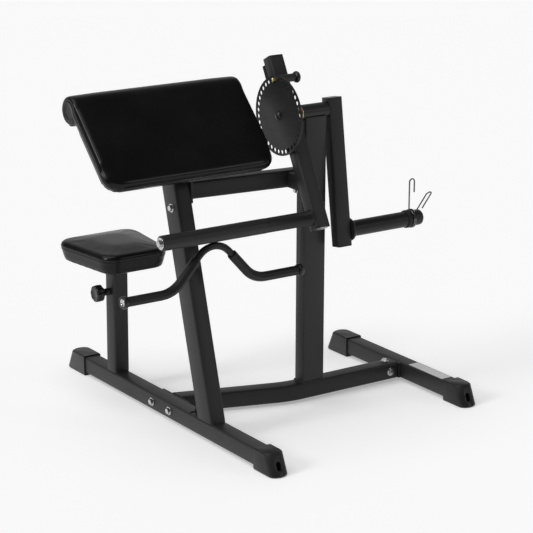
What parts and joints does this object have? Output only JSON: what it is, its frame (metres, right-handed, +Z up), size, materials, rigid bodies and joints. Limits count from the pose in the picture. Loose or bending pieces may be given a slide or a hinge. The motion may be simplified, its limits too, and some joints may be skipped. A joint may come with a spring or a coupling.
{
  "type": "plate-loaded curl machine",
  "caption": "Seated arm curl machine: sloping arm pad and pin-set seat on a steel frame, with a plate horn arm and a lever with a hanging cranked bar locked together by a holed disc.",
  "frame": {"origin": "on the floor, at the centre of the machine's footprint box", "axes": "+Z up; the user sits at +Y and faces -Y; both arms turn about a line along X, with the plate horn on the +X side"},
  "size_m": [1.0962, 1.1366, 1.0317],
  "materials": {
    "powder_coat": "satin black powder coat",
    "rubber": "matte black",
    "black_plastic": "moulded, satin",
    "vinyl": "black upholstery vinyl with a fine grain",
    "plywood": "stained board under the cushions",
    "chrome": "bright plated",
    "bronze": "sintered bronze bush",
    "pin_steel": "yellow passivated pin"
  },
  "bodies": {
    "frame": {"left_rail": "powder_coat", "right_rail": "powder_coat", "left_foot_front": "rubber", "left_foot_rear": "rubber", "right_foot_front": "rubber", "right_foot_rear": "rubber", "cross_tube": "powder_coat", "cross_flange_left": "powder_coat", "cross_socket_right": "powder_coat", "upright": "powder_coat", "pivot_housing": "powder_coat", "bush_left": "bronze", "bush_right": "bronze", "sloping_post": "powder_coat", "seat_post": "powder_coat", "top_beam": "powder_coat", "beam_bracket_left": "powder_coat", "beam_bracket_right": "powder_coat", "lever_stop": "rubber", "arm_pad": "vinyl", "arm_pad_board": "plywood", "arm_pad_bracket": "powder_coat", "seat_pin_barrel": "powder_coat", "rail_bolt_1": "chrome", "rail_bolt_2": "chrome", "post_bolt": "chrome", "beam_bolt": "chrome", "socket_bolt_top": "chrome", "socket_bolt_front": "chrome"},
    "seat": {"seat_inner_post": "powder_coat", "seat_board": "plywood", "seat_cushion": "vinyl"},
    "seat_pin": {"seat_pin": "pin_steel", "seat_knob": "black_plastic"},
    "weight_arm": {"pivot_shaft": "chrome", "index_disc": "powder_coat", "disc_bolt": "black_plastic", "weight_arm": "powder_coat", "weight_arm_cap_top": "black_plastic", "weight_arm_cap_bottom": "black_plastic", "weight_horn": "powder_coat", "horn_cap": "black_plastic"},
    "clip": {"plate_stop_ring": "rubber", "spring_clip": "chrome"},
    "lever": {"lever_arm": "powder_coat", "lever_hub": "chrome", "lever_cap_top": "black_plastic", "lever_cap_bottom": "black_plastic", "index_barrel": "powder_coat", "lever_rear_pad": "rubber", "handle_axle": "powder_coat", "handle_bolt": "chrome"},
    "index_pin": {"index_pin": "pin_steel", "index_knob": "black_plastic"},
    "handle": {"handle_sleeve": "powder_coat", "curl_bar": "powder_coat", "grip_left": "rubber", "grip_right": "rubber", "grip_cap_left": "black_plastic", "grip_cap_right": "black_plastic"}
  },
  "joints": [
    {"name": "lever_curl", "type": "hinge", "parent": "frame", "child": "lever", "pos_m": [0.0929, -0.08775, 0.8693], "axis": [-1, 0, 0], "range_deg": [0, 125]},
    {"name": "weight_index", "type": "hinge", "parent": "lever", "child": "weight_arm", "pos_m": [0.1739, -0.08775, 0.8693], "axis": [1, 0, 0], "range_deg": [0, 60]},
    {"name": "handle_turn", "type": "hinge", "parent": "lever", "child": "handle", "pos_m": [-0.2541, -0.23094, 0.6], "axis": [-1, 0, 0], "range_deg": [-95, 180]},
    {"name": "index_pin_pull", "type": "slide", "parent": "lever", "child": "index_pin", "axis": [1, 0, 0], "range_m": [0, 0.019], "stiffness_N_per_m": 500, "springref_m": -0.01},
    {"name": "seat_height", "type": "slide", "parent": "frame", "child": "seat", "axis": [0, 0, 1], "range_m": [0, 0.15]},
    {"name": "seat_pin_pull", "type": "slide", "parent": "frame", "child": "seat_pin", "axis": [-1, 0, 0], "range_m": [0, 0.012], "stiffness_N_per_m": 600, "springref_m": -0.01},
    {"name": "clip_slide", "type": "slide", "parent": "weight_arm", "child": "clip", "axis": [-1, 0, 0], "range_m": [0, 0.17]}
  ]
}
